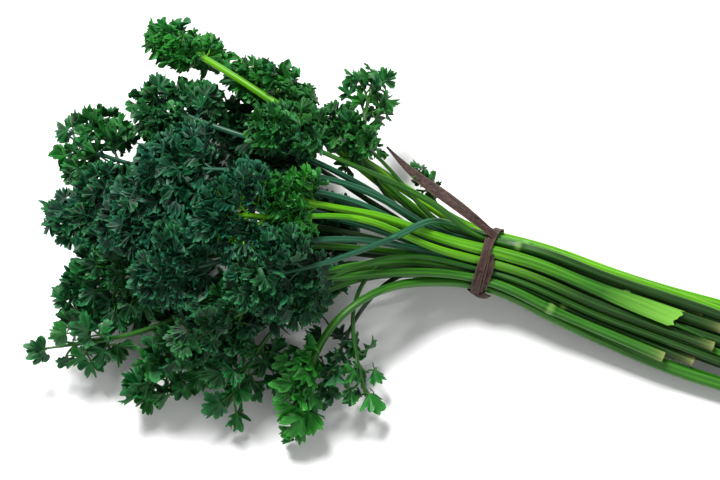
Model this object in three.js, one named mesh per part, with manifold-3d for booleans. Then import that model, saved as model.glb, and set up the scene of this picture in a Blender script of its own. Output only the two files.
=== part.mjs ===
// A bunch of curly parsley, tied with a strip of dried leaf and lying on a table.
// Millimetres. +X runs along the bunch to the cut stems, +Y across it, +Z up from the table.
// The bunch is laid out round its tie, and moved to its origin at the end.
import * as THREE from "three";
import { mergeVertices } from "three/addons/utils/BufferGeometryUtils.js";
import Module from "manifold-3d";

// ---- driving dimensions ------------------------------------------------------------------
const CROWN_LENGTH = 150; // the leafy end, along the bunch
const CROWN_WIDTH = 160;
const CROWN_HEIGHT = 92;
const NECK_LENGTH = 30; // bare stalks between the leafy end and the tie
const STEM_LENGTH = 122; // from the tie to the furthest cut end
const STEM_SPREAD = 1.45; // how much wider the cut ends lie than the tied bundle
const STEM_SETTLE = 0.75; // how much of the bundle's height is left at the cut ends
const STEM_BEND = THREE.MathUtils.degToRad(-11.3); // the stems turn this much at the tie
const TIE_TURN = THREE.MathUtils.degToRad(-6); // the tie's own turn about Z
const TIE_HEIGHT = 20; // middle of the tied bundle above the table

const THICK = 4.9; // stalk diameters at the tie
const MIDDLE = 3.5;
const THIN = 2.7;
const TIP_TAPER = 0.75; // of the diameter, left where the leaf begins
const CUT_TAPER = 1.2; // of the diameter, reached at the cut end

const LEAF_THICKNESS = 20; // a curled leaf's depth
const STRIP_WIDTH = 5.6; // the tie's dried strip
const STRIP_THICKNESS = 0.9;
const TAIL_LENGTH = 50; // its loose end
const TAIL_FOLD = 0.36; // the loose end is folded: its thickness over its width
const TAIL_STATIONS = 9; // sections along it
const TAIL_TURN = 0.54; // how far aside it ends, as a share of its length
const TAIL_START = 5; // where it leaves the tie, across the bundle
const RIB = 0.34; // how far a stalk runs on into its leaf, as a share of the leaf
const CLEARANCE = 0.35; // between pieces that touch
const FINEST = 0.1; // detail smaller than this is left out of a leaf

// ---- the sprigs --------------------------------------------------------------------------
// Places are in shares of the leafy end: along it from the neck (0) to its far tips (1), across it
// from -1 to 1, and up from the table (0) to its top (1). way is what the stalk passes through on
// its way from the tie, base is where its leaf begins, and tip is where the leaf ends. spread is
// the leaf's half width in millimetres, and cut is the share of the stem length that was left.
const sprig = (girth, cut, way, base, tip, spread) => ({ girth, cut, way, base, tip, spread });
const SPRIGS = [
  // round the edge, from the upper far corner towards the neck
  sprig(THICK, 0.97, [[0.2, 0.3, 0.57]], [0.61, 0.68, 0.62], [0.8, 0.89, 0.54], 19),
  sprig(THICK, 1.0, [[0.2, 0.33, 0.46]], [0.41, 0.57, 0.5], [0.57, 0.82, 0.46], 16),
  sprig(MIDDLE, 0.93, [[0.13, 0.22, 0.54]], [0.31, 0.43, 0.63], [0.45, 0.63, 0.64], 15),
  sprig(THIN, 0.8, [[0.13, 0.22, 0.42]], [0.19, 0.58, 0.5], [0.15, 0.9, 0.45], 13),
  sprig(THIN, 0.72, [[-0.03, 0.12, 0.42]], [0.13, 0.31, 0.54], [0.28, 0.48, 0.61], 16),
  sprig(THIN, 0.97, [], [-0.03, 0.25, 0.31], [0.03, 0.44, 0.32], 8),
  // round the far end
  sprig(MIDDLE, 0.96, [[0.33, 0.05, 0.6]], [0.8, 0.1, 0.5], [1, 0.27, 0.43], 20),
  sprig(MIDDLE, 1.0, [[0.27, 0.17, 0.63]], [0.59, 0.28, 0.67], [0.79, 0.47, 0.58], 20),
  sprig(MIDDLE, 0.92, [[0.33, -0.05, 0.54]], [0.73, -0.15, 0.5], [0.98, -0.18, 0.37], 20),
  sprig(MIDDLE, 0.99, [[0.33, -0.22, 0.48]], [0.67, -0.42, 0.41], [0.91, -0.6, 0.26], 20),
  // round the lower edge, back towards the neck
  sprig(MIDDLE, 0.64, [[0.3, -0.42, 0.5]], [0.73, -0.75, 0.3], [0.94, -0.79, 0.2], 15),
  sprig(MIDDLE, 0.7, [[0.2, -0.3, 0.41]], [0.49, -0.68, 0.3], [0.67, -0.97, 0.13], 19),
  sprig(THIN, 0.54, [[0.15, -0.3, 0.37]], [0.35, -0.63, 0.32], [0.43, -1, 0.11], 18),
  sprig(THICK, 1.0, [[0.07, -0.3, 0.38]], [0.21, -0.62, 0.33], [0.24, -1.04, 0.1], 16),
  sprig(THIN, 0.59, [[0.01, -0.18, 0.35]], [0.14, -0.53, 0.3], [0.17, -0.86, 0.17], 14),
  sprig(THIN, 0.95, [[0.04, -0.15, 0.39], [0.13, -0.37, 0.38]], [0.11, -0.63, 0.23], [0.05, -0.84, 0.1], 13),
  // over the top
  sprig(MIDDLE, 0.8, [[-0.03, 0.05, 0.41], [0.21, 0.07, 0.65]], [0.51, -0.03, 0.76], [0.72, -0.1, 0.8], 22),
  sprig(MIDDLE, 0.9, [[0.27, 0, 0.65]], [0.57, -0.22, 0.72], [0.79, -0.37, 0.63], 22),
  sprig(MIDDLE, 0.78, [[0.13, -0.08, 0.61]], [0.35, -0.25, 0.76], [0.53, -0.37, 0.93], 22),
  sprig(MIDDLE, 0.94, [[0.2, -0.2, 0.57]], [0.47, -0.45, 0.65], [0.67, -0.62, 0.63], 22),
  sprig(MIDDLE, 0.99, [[-0.11, 0.06, 0.38], [0.03, -0.1, 0.48]], [0.25, -0.42, 0.63], [0.43, -0.6, 0.74], 20),
  sprig(THICK, 0.64, [[-0.01, 0.02, 0.46]], [0.25, -0.1, 0.68], [0.39, -0.17, 0.85], 16),
  sprig(THIN, 0.97, [[-0.01, -0.1, 0.39]], [0.2, -0.36, 0.5], [0.34, -0.62, 0.55], 15),
  sprig(MIDDLE, 0.74, [[0.17, -0.32, 0.48]], [0.39, -0.6, 0.5], [0.56, -0.83, 0.43], 18),
  sprig(MIDDLE, 0.91, [[0.05, 0.13, 0.54]], [0.25, 0.17, 0.7], [0.45, 0.2, 0.87], 20),
  // on the table
  sprig(MIDDLE, 0.98, [[0.2, 0.02, 0.28]], [0.57, 0.05, 0.26], [0.84, 0.13, 0.17], 26),
  sprig(MIDDLE, 0.93, [[0.1, 0.2, 0.24]], [0.32, 0.43, 0.22], [0.59, 0.63, 0.17], 24),
  sprig(THICK, 0.66, [[0.1, -0.15, 0.2]], [0.35, -0.33, 0.18], [0.61, -0.53, 0.13], 24),
  sprig(MIDDLE, 0.96, [[-0.02, 0, 0.16]], [0.18, -0.03, 0.15], [0.4, 0.05, 0.11], 20),
];

const TIE = new THREE.Vector3(0, 0, TIE_HEIGHT);
const TIE_AXIS = new THREE.Vector3(Math.cos(TIE_TURN), Math.sin(TIE_TURN), 0);
const TIE_SIDE = new THREE.Vector3(-TIE_AXIS.y, TIE_AXIS.x, 0);
const UP = new THREE.Vector3(0, 0, 1);

const inCrown = ([lengthways, across, up]) =>
  new THREE.Vector3(-NECK_LENGTH - lengthways * CROWN_LENGTH, across * CROWN_WIDTH / 2, up * CROWN_HEIGHT);
const along = (origin, ...terms) =>
  terms.reduce((point, [direction, distance]) => point.addScaledVector(direction, distance), origin.clone());

// ---- solids ------------------------------------------------------------------------------
const wasm = await Module();
wasm.setup();

function solid(geometry) {
  const bare = geometry.index ? geometry.toNonIndexed() : geometry.clone();
  bare.deleteAttribute("normal");
  bare.deleteAttribute("uv");
  const merged = mergeVertices(bare, 1e-4);
  return new wasm.Manifold(new wasm.Mesh({
    numProp: 3,
    vertProperties: merged.attributes.position.array,
    triVerts: new Uint32Array(merged.index.array),
  }));
}

function geometryOf(body) {
  const { numProp, vertProperties, triVerts } = body.getMesh();
  const positions = new Float32Array(triVerts.length * 3);
  triVerts.forEach((vertex, corner) => {
    positions.set(vertProperties.subarray(vertex * numProp, vertex * numProp + 3), corner * 3);
  });
  const geometry = new THREE.BufferGeometry();
  geometry.setAttribute("position", new THREE.BufferAttribute(positions, 3));
  geometry.computeVertexNormals();
  return geometry;
}

const largest = (body) =>
  body.decompose().reduce((best, piece) => (piece.volume() > best.volume() ? piece : best));

// ---- where each stalk sits in the tied bundle ---------------------------------------------
// Round stalks are pressed together by the tie: each starts on the side that its leaf lies on, is
// drawn to the middle and pushed off the others, until the bundle is tight.
function packBundle(sprigs) {
  const START = 24; // how far from the middle the stalks start
  const PULL = 0.02; // share of the way in that each round draws them
  const ROUNDS = 900;
  const slots = sprigs.map((sprig) => {
    const aim = inCrown(sprig.way[0] ?? sprig.base).sub(TIE);
    return new THREE.Vector2(aim.dot(TIE_SIDE), aim.z).multiplyScalar(START / aim.length());
  });
  for (let round = 0; round < ROUNDS; round++) {
    const pull = round < ROUNDS * 0.8 ? PULL : 0;
    slots.forEach((slot) => slot.multiplyScalar(1 - pull));
    slots.forEach((a, i) => slots.slice(i + 1).forEach((b, k) => {
      const apart = (sprigs[i].girth + sprigs[i + 1 + k].girth) / 2 + CLEARANCE;
      const gap = a.distanceTo(b);
      if (gap >= apart) return;
      const push = b.clone().sub(a).multiplyScalar((apart - gap) / 2 / Math.max(gap, 1e-6));
      a.sub(push);
      b.add(push);
    }));
  }
  const middle = slots.reduce((sum, slot) => sum.add(slot), new THREE.Vector2())
    .multiplyScalar(1 / slots.length);
  return slots.map((slot) => slot.sub(middle));
}

// ---- each stalk's route, from its cut end through the tie to its leaf ----------------------
const RING_STEP = 18; // between a stalk's sections
const TIED = 9; // each side of the tie, where the stalks stay pressed together
const FREED = 32; // from the tie, where they can move fully

function firstRoute(sprig, slot) {
  const throughTie = (distance, spread = 1) =>
    along(TIE, [TIE_AXIS, distance], [TIE_SIDE, slot.x * spread], [UP, slot.y * spread]);
  const heading = new THREE.Vector3(Math.cos(STEM_BEND), Math.sin(STEM_BEND), 0);
  const side = new THREE.Vector3(-heading.y, heading.x, 0);
  const low = Math.max(...SLOTS.map((other) => -other.y)) * STEM_SETTLE + THICK / 2;
  const stem = (share) => {
    const widen = 1 + (STEM_SPREAD - 1) * share ** 1.5;
    const settle = 1 + (STEM_SETTLE - 1) * share;
    const height = TIE_HEIGHT + (low - TIE_HEIGHT) * Math.sin(share * Math.PI / 2);
    return along(new THREE.Vector3(0, 0, height), [heading, share * STEM_LENGTH],
      [side, slot.x * widen], [UP, slot.y * settle]);
  };
  const stems = [1, 0.66, 0.33].map((share) => stem(share * sprig.cut));
  const tie = stems.length + 1;
  const points = [
    ...stems, throughTie(TIED, 1.02), throughTie(0), throughTie(-TIED, 1.02),
    ...sprig.way.map(inCrown), inCrown(sprig.base),
    inCrown(sprig.base).lerp(inCrown(sprig.tip), RIB),
  ];
  const curve = new THREE.CatmullRomCurve3(points, false, "centripetal");
  curve.arcLengthDivisions = 60 * (points.length - 1);
  const lengths = curve.getLengths();
  const [before, after, whole] = [tie - 1, tie + 1, points.length - 1].map((index) => lengths[60 * index]);
  const sections = (from, to) => {
    const count = Math.max(1, Math.round((to - from) / RING_STEP));
    return Array.from({ length: count + 1 }, (_, k) => from + (to - from) * k / count);
  };
  return [...sections(0, before), ...sections(after, whole)]
    .map((length) => curve.getPointAt(Math.min(1, length / whole)));
}

// The places where two straight pieces of stalk come closest, as shares of their lengths.
function closest(p, q, r, s) {
  const a = q.clone().sub(p), b = s.clone().sub(r), c = p.clone().sub(r);
  const aa = a.dot(a), bb = b.dot(b), ab = a.dot(b), ac = a.dot(c), bc = b.dot(c);
  const clamp = (value) => Math.min(1, Math.max(0, value));
  let first = clamp((ab * bc - ac * bb) / Math.max(aa * bb - ab * ab, 1e-9));
  const second = clamp((ab * first + bc) / bb);
  first = clamp((ab * second - ac) / aa);
  return [first, second];
}

const thickness = (sprig, share) => {
  const [first, last] = share < 0.5 ? [CUT_TAPER, 1] : [1, TIP_TAPER];
  return sprig.girth * THREE.MathUtils.lerp(first, last, share < 0.5 ? share * 2 : share * 2 - 1);
};

// Which pieces of two routes are near enough to meet.
function nearPairs(a, b) {
  const reach = (3 * RING_STEP) ** 2;
  return a.slice(1).flatMap((_, m) => b.slice(1).flatMap((__, n) =>
    (a[m].distanceToSquared(b[n]) > reach ? [] : [[m, n]])));
}

// Stalks that would run through each other are eased apart, and none sinks below the table.
function easeApart(routes) {
  const ROUNDS = 320, LAST = 120, EASE = 0.05, SMOOTH = 0.3, SPARE = 0.35;
  const rests = routes.map((route) => route.map((point) => point.clone()));
  const looseness = routes.map((route) => route.map((point) =>
    THREE.MathUtils.smoothstep(Math.abs(point.clone().sub(TIE).dot(TIE_AXIS)), TIED, FREED)));
  const widths = routes.map((route, i) => route.map((_, k) => thickness(SPRIGS[i], k / (route.length - 1))));
  for (let round = 0; round < ROUNDS; round++) {
    routes.forEach((a, i) => routes.slice(i + 1).forEach((b, after) => {
      const j = i + 1 + after;
      for (const [m, n] of nearPairs(a, b)) {
        const [s, t] = closest(a[m], a[m + 1], b[n], b[n + 1]);
        const gap = a[m].clone().lerp(a[m + 1], s).sub(b[n].clone().lerp(b[n + 1], t));
        const own = Math.max(widths[i][m], widths[i][m + 1]);
        const its = Math.max(widths[j][n], widths[j][n + 1]);
        const apart = (own + its) / 2 + CLEARANCE + SPARE;
        const distance = gap.length();
        if (distance >= apart) continue;
        const push = gap.multiplyScalar((apart - distance) / 2 / Math.max(distance, 1e-6));
        a[m].addScaledVector(push, (1 - s) * looseness[i][m]);
        a[m + 1].addScaledVector(push, s * looseness[i][m + 1]);
        b[n].addScaledVector(push, -(1 - t) * looseness[j][n]);
        b[n + 1].addScaledVector(push, -t * looseness[j][n + 1]);
      }
    }));
    const fade = Math.min(1, Math.max(0, (ROUNDS - round - LAST / 2) / LAST));
    routes.forEach((route, i) => {
      for (let k = 1; k + 1 < route.length; k++) {
        const bend = route[k - 1].clone().add(route[k + 1]).multiplyScalar(0.5).sub(route[k]);
        const wanted = rests[i][k - 1].clone().add(rests[i][k + 1]).multiplyScalar(0.5).sub(rests[i][k]);
        route[k].addScaledVector(bend.sub(wanted), fade * SMOOTH * looseness[i][k]);
      }
      route.forEach((point, k) => {
        point.addScaledVector(rests[i][k].clone().sub(point), fade * EASE * looseness[i][k]);
        point.z = Math.max(point.z, widths[i][k] / 2 + 0.2);
      });
    });
  }
  return routes;
}

const SIDES = 6;

// A stalk's curve has one section at each point of its route.
class StalkCurve extends THREE.CatmullRomCurve3 {
  constructor(points) { super(points, false, "centripetal"); }
  getPointAt(share, target) { return this.getPoint(share, target); }
  getTangentAt(share, target) { return this.getTangent(share, target); }
}

// A round tube along a route, as wide at each section as width says, and flattened where flat says.
function tube(route, width, { longer = 0, flat = () => 1 } = {}) {
  const points = route.map((point) => point.clone());
  const last = points.length - 1;
  const reach = (end, before) =>
    points[end].addScaledVector(points[end].clone().sub(points[before]).normalize(), longer);
  reach(last, last - 1);
  reach(0, 1);
  const curve = new StalkCurve(points);
  const section = new THREE.Shape(Array.from({ length: SIDES }, (_, k) =>
    new THREE.Vector2(Math.cos(2 * Math.PI * k / SIDES), Math.sin(2 * Math.PI * k / SIDES))));
  const settings = { steps: last, extrudePath: curve, bevelEnabled: false };
  const geometry = new THREE.ExtrudeGeometry(section, settings);
  const position = geometry.attributes.position;
  const vertex = new THREE.Vector3();
  for (let k = 0; k < position.count; k++) {
    vertex.fromBufferAttribute(position, k);
    const ring = points.reduce((best, centre, m) =>
      (vertex.distanceToSquared(centre) < vertex.distanceToSquared(points[best]) ? m : best), 0);
    const share = ring / last;
    const offset = vertex.sub(points[ring]).multiplyScalar(width(share) / 2);
    offset.z *= flat(share);
    vertex.addVectors(points[ring], offset);
    position.setXYZ(k, vertex.x, vertex.y, vertex.z);
  }
  return solid(geometry);
}

// ---- leaves -------------------------------------------------------------------------------
// A curled leaf is three rounded lobes, one at its end and one at each side, in the plane that
// faces out from the middle of the leafy end.
const CORE = inCrown([0.45, -0.02, 0.38]);
const LOBE = new THREE.SphereGeometry(1, 7, 5);

function lobesOf(sprig) {
  const base = inCrown(sprig.base), tip = inCrown(sprig.tip);
  const length = base.distanceTo(tip);
  const forward = tip.clone().sub(base).normalize();
  const middle = base.clone().lerp(tip, 0.5);
  const out = middle.clone().sub(CORE).normalize();
  const normal = out.addScaledVector(forward, -out.dot(forward)).normalize();
  const side = normal.clone().cross(forward).normalize();
  const lobe = (ahead, aside, size) => ({
    centre: along(base, [forward, ahead * length], [side, aside * sprig.spread]),
    axes: [forward, side, normal],
    radii: [size[0] * length, size[1] * sprig.spread,
      Math.min(LEAF_THICKNESS, sprig.spread * 1.3) / 2],
  });
  return [
    lobe(0.68, 0, [0.36, 0.62]),
    lobe(0.36, 0.5, [0.4, 0.52]),
    lobe(0.36, -0.5, [0.4, 0.52]),
  ];
}

const reachOf = (lobe, direction) =>
  Math.hypot(...lobe.axes.map((axis, k) => axis.dot(direction) * lobe.radii[k]));

function lobeSolid(lobe, others) {
  const [x, y, z] = lobe.axes.map((axis, k) => axis.clone().multiplyScalar(lobe.radii[k]));
  const place = new THREE.Matrix4().makeBasis(x, y, z).setPosition(lobe.centre);
  let body = solid(LOBE.clone().applyMatrix4(place));
  for (const other of others) {
    const direction = other.centre.clone().sub(lobe.centre);
    const distance = direction.length();
    direction.normalize();
    const own = reachOf(lobe, direction), its = reachOf(other, direction);
    if (own + its < distance - CLEARANCE) continue;
    const wall = lobe.centre.dot(direction) + distance * own / (own + its) - CLEARANCE / 2;
    body = body.trimByPlane(direction.clone().negate().toArray(), -wall);
  }
  return body;
}

// ---- the tie ------------------------------------------------------------------------------
// The outline of the pressed bundle: the convex outline round all the stalks at the tie.
function outline(points) {
  const sorted = [...points].sort((a, b) => a.x - b.x || a.y - b.y);
  const cross = (o, a, b) => (a.x - o.x) * (b.y - o.y) - (a.y - o.y) * (b.x - o.x);
  const half = (list) => list.reduce((chain, point) => {
    while (chain.length > 1 && cross(chain.at(-2), chain.at(-1), point) <= 0) chain.pop();
    return [...chain, point];
  }, []);
  return [...half(sorted).slice(0, -1), ...half(sorted.reverse()).slice(0, -1)];
}

// The bundle's outline at the tie, grown by a distance all round.
function bundleOutline(routes, grow) {
  const ROUND = 10; // points round each stalk
  const points = routes.flatMap((route, i) => route.slice(1).flatMap((point, k) =>
    [0, 0.25, 0.5, 0.75].flatMap((share) => {
      const place = route[k].clone().lerp(point, share).sub(TIE);
      if (Math.abs(place.dot(TIE_AXIS)) > STRIP_WIDTH + 2) return [];
      const radius = thickness(SPRIGS[i], (k + share) / (route.length - 1)) / 2 + grow;
      return Array.from({ length: ROUND }, (_, m) => {
        const angle = 2 * Math.PI * m / ROUND;
        return new THREE.Vector2(
          place.dot(TIE_SIDE) + radius * Math.cos(angle), place.z + radius * Math.sin(angle));
      });
    })));
  const full = outline(points);
  return full.filter((point, k) => k === 0 || point.distanceTo(full[k - 1]) > 1.2);
}

// How high an outline stands at a place across it.
const topOf = (points, across) => Math.max(...points.map((point, k) => {
  const next = points[(k + 1) % points.length];
  const share = (across - point.x) / (next.x - point.x);
  return share >= 0 && share <= 1 ? point.y + share * (next.y - point.y) : -Infinity;
}));

// One turn of the strip, moved along the bunch and leaning as its height grows.
function turn(routes, offset, width, shift, lean) {
  const ring = new THREE.Shape(bundleOutline(routes, offset + STRIP_THICKNESS));
  ring.holes.push(new THREE.Path(bundleOutline(routes, offset).reverse()));
  const geometry = new THREE.ExtrudeGeometry(ring, { depth: width, bevelEnabled: false });
  geometry.translate(0, 0, shift - width / 2);
  const position = geometry.attributes.position;
  for (let k = 0; k < position.count; k++) position.setZ(k, position.getZ(k) + lean * position.getY(k));
  geometry.applyMatrix4(new THREE.Matrix4().makeBasis(TIE_SIDE, UP, TIE_AXIS).setPosition(TIE));
  return solid(geometry);
}

// How high the stalks stand under a place.
const stalkTop = (routes, place, about) => Math.max(-Infinity, ...routes.flatMap((route, i) =>
  route.slice(1).flatMap((point, k) => [0, 0.25, 0.5, 0.75].map((share) => {
    const under = route[k].clone().lerp(point, share);
    const step = point.clone().sub(route[k]);
    const radius = thickness(SPRIGS[i], (k + share) / (route.length - 1)) / 2
      * step.length() / Math.max(Math.hypot(step.x, step.y), 1);
    return Math.hypot(under.x - place.x, under.y - place.y) < about + radius ? under.z + radius : -Infinity;
  }))));

// The loose end leaves the top of the tie and lies over the stalks, back towards the leaves.
function tieTail(routes, grow = 0) {
  const thick = STRIP_WIDTH * TAIL_FOLD / 2;
  const rise = topOf(bundleOutline(routes, CLEARANCE + thick), TAIL_START);
  const start = along(TIE, [TIE_SIDE, TAIL_START], [UP, rise]);
  const stations = Array.from({ length: TAIL_STATIONS }, (_, k) => {
    const share = k / (TAIL_STATIONS - 1);
    const place = along(start, [TIE_AXIS, -share * TAIL_LENGTH],
      [TIE_SIDE, TAIL_LENGTH * TAIL_TURN * share ** 1.3], [UP, 3 * share ** 2]);
    const rest = stalkTop(routes, place, STRIP_WIDTH / 2 + 1) + thick + 2 * CLEARANCE;
    if (k > 0) place.z = Math.max(place.z, rest);
    return place;
  });
  return tube(
    stations,
    (share) => STRIP_WIDTH * (0.75 + 0.45 * Math.sin(Math.PI * share) - 0.25 * share ** 2) + 2 * grow,
    { flat: () => TAIL_FOLD + 0.25 * grow, longer: grow },
  );
}

function tieSolid(routes) {
  const inner = turn(routes, CLEARANCE, STRIP_WIDTH, 0, -0.05);
  const outer = turn(routes, CLEARANCE + STRIP_THICKNESS * 0.7, STRIP_WIDTH * 0.75, 1, 0.07);
  return inner.add(outer).add(tieTail(routes));
}

// ---- the bunch ----------------------------------------------------------------------------
const GREENS = { stalk: 0x4c8a35, pale: 0x7fbf3a, leaf: 0x2b6b2c, strip: 0x4a3328 };
const finish = (color, roughness) => new THREE.MeshStandardMaterial({ color, roughness, metalness: 0 });
const stalkFinish = finish(GREENS.stalk, 0.42), paleFinish = finish(GREENS.pale, 0.42);
const leafFinish = finish(GREENS.leaf, 0.6), stripFinish = finish(GREENS.strip, 0.7);

const SLOTS = packBundle(SPRIGS);
const routes = easeApart(SPRIGS.map((sprig, i) => firstRoute(sprig, SLOTS[i])));
const stalks = routes.map((route, i) => tube(route, (share) => thickness(SPRIGS[i], share)));

const room = wasm.Manifold.union([
  ...routes.map((route, i) =>
    tube(route, (share) => thickness(SPRIGS[i], share) + 2 * CLEARANCE, { longer: CLEARANCE })),
  tieTail(routes, 1.5 * CLEARANCE),
]);
const lobes = SPRIGS.map(lobesOf);
const leaves = lobes.map((own, i) => {
  const others = lobes.flatMap((theirs, j) => (j === i ? [] : theirs));
  const whole = wasm.Manifold.union(own.map((lobe) => lobeSolid(lobe, others)));
  return largest(whole.trimByPlane([0, 0, 1], 0).subtract(room).simplify(FINEST));
});

const bunch = new THREE.Group();
const add = (name, body, material) => {
  const mesh = new THREE.Mesh(geometryOf(body), material);
  mesh.name = name;
  bunch.add(mesh);
};
const number = (i) => String(i + 1).padStart(2, "0");
stalks.forEach((body, i) => {
  add(`stalk_${number(i)}`, body, SPRIGS[i].girth === THICK ? paleFinish : stalkFinish);
});
leaves.forEach((body, i) => add(`leaf_${number(i)}`, body, leafFinish));
add("tie_strip", tieSolid(routes), stripFinish);

// The origin is under the middle of the bunch, on the table.
const box = new THREE.Box3().setFromObject(bunch);
const middle = box.getCenter(new THREE.Vector3());
bunch.position.set(-middle.x, -middle.y, -box.min.z);

export default bunch;
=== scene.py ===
"""A bunch of curly parsley tied with a strip of dried leaf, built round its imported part.

Every sprig is a ribbed stalk that goes on into a divided leaf: stems that branch in pairs, and at
the end of each stem a ruffled, toothed leaflet. Metres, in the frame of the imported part.
"""

import math

import bpy
import numpy as np
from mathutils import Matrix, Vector


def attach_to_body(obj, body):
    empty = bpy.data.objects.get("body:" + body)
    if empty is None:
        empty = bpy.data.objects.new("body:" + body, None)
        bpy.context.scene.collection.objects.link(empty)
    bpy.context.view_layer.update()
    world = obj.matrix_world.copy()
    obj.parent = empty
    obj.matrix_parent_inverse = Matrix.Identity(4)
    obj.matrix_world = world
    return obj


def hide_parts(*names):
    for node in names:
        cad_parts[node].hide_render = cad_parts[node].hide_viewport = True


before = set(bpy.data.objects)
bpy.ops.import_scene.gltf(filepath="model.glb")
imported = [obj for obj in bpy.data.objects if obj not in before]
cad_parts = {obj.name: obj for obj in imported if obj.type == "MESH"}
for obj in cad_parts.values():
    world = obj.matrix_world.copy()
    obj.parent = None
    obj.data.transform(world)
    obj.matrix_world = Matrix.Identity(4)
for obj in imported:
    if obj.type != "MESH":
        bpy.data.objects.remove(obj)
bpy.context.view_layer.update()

MM = 0.001
SPRIGS = 29
UP = np.array([0.0, 0.0, 1.0])
TIE_TURN = math.radians(-6)  # the tie's own turn about the upright
TIE_AXIS = np.array([math.cos(TIE_TURN), math.sin(TIE_TURN), 0.0])
TIE_SIDE = np.array([-TIE_AXIS[1], TIE_AXIS[0], 0.0])
CORE = np.array([-68.0, 0.0, 35.0]) * MM  # middle of the leafy end
CROWN_HALF = np.array([82.0, 82.0, 50.0]) * MM
REST = 0.25 * MM  # no piece comes lower than this over the table
rng = np.random.default_rng(11)


# ---- materials -----------------------------------------------------------------------------
def colour(code):
    """A colour from its six hexadecimal digits, as the linear numbers that a socket takes."""
    parts = [int(code[k:k + 2], 16) / 255 for k in (0, 2, 4)]
    linear = [p / 12.92 if p < 0.04045 else ((p + 0.055) / 1.055) ** 2.4 for p in parts]
    return (*linear, 1.0)


class Value:
    """A number or colour in a material, so that sums on it read as sums."""

    def __init__(self, finish, socket):
        self.finish = finish
        self.socket = socket

    def sum(self, operation, *others, clamp=False):
        inputs = dict(enumerate((self, *others)))
        return self.finish.node("ShaderNodeMath", {"operation": operation, "use_clamp": clamp}, inputs)

    def __add__(self, other):
        return self.sum("ADD", other)

    def __sub__(self, other):
        return self.sum("SUBTRACT", other)

    def __rsub__(self, other):
        return self.finish.node("ShaderNodeMath", {"operation": "SUBTRACT"}, {0: other, 1: self})

    def __mul__(self, other):
        return self.sum("MULTIPLY", other)

    __radd__ = __add__
    __rmul__ = __mul__

    def from_to(self, low, high):
        """0 at low and 1 at high, with soft ends."""
        inputs = {"Value": self, "From Min": low, "From Max": high}
        return self.finish.node("ShaderNodeMapRange", {"interpolation_type": "SMOOTHSTEP"}, inputs)

    def off_ring(self, wide):
        """1 where a number is nought, and 0 from wide away."""
        return 1 - self.sum("ABSOLUTE").from_to(0.0, wide)

    def off_line(self):
        """How far a number is from the nearest whole number and a half."""
        return 0.5 - self.sum("PINGPONG", 0.5)


class Finish:
    """A material made of nodes."""

    def __init__(self, name):
        self.material = bpy.data.materials.new(name)
        self.material.use_nodes = True
        self.tree = self.material.node_tree
        self.shader = self.tree.nodes["Principled BSDF"]

    def node(self, kind, settings=None, inputs=None, output=0):
        made = self.tree.nodes.new(kind)
        for name, value in (settings or {}).items():
            if name == "stops":
                self.set_stops(made.color_ramp, value)
            else:
                setattr(made, name, value)
        for key, value in (inputs or {}).items():
            self.feed(made.inputs[key], value)
        return Value(self, made.outputs[output])

    def feed(self, socket, value):
        if isinstance(value, Value):
            self.tree.links.new(value.socket, socket)
        else:
            socket.default_value = value

    @staticmethod
    def set_stops(ramp, stops):
        while len(ramp.elements) < len(stops):
            ramp.elements.new(0.5)
        for element, (place, shade) in zip(ramp.elements, stops):
            element.position = place
            element.color = shade

    def mark(self, name, output="Fac"):
        """What the mesh says about each place on it."""
        return self.node("ShaderNodeAttribute", {"attribute_name": name}, output=output)

    def split(self, vector):
        parts = self.node("ShaderNodeSeparateXYZ", inputs={0: vector}).socket.node
        return [Value(self, parts.outputs[k]) for k in range(3)]

    def blend(self, share, first, second):
        """The first colour where share is 0, and the second where it is 1."""
        inputs = {0: share, 6: first, 7: second}
        return self.node("ShaderNodeMix", {"data_type": "RGBA"}, inputs, output=2)

    def stretched(self, vector, by):
        return self.node("ShaderNodeVectorMath", {"operation": "MULTIPLY"}, {0: vector, 1: by})

    def noise(self, vector, scale, detail=3.0, roughness=0.55):
        inputs = {"Vector": vector, "Scale": scale, "Detail": detail, "Roughness": roughness}
        return self.node("ShaderNodeTexNoise", inputs=inputs)

    def bump(self, height, strength, distance):
        inputs = {"Height": height, "Strength": strength, "Distance": distance}
        return self.node("ShaderNodeBump", inputs=inputs)

    def shine(self, **sockets):
        for name, value in sockets.items():
            self.feed(self.shader.inputs[name.replace("_", " ")], value)
        return self.material


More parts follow.
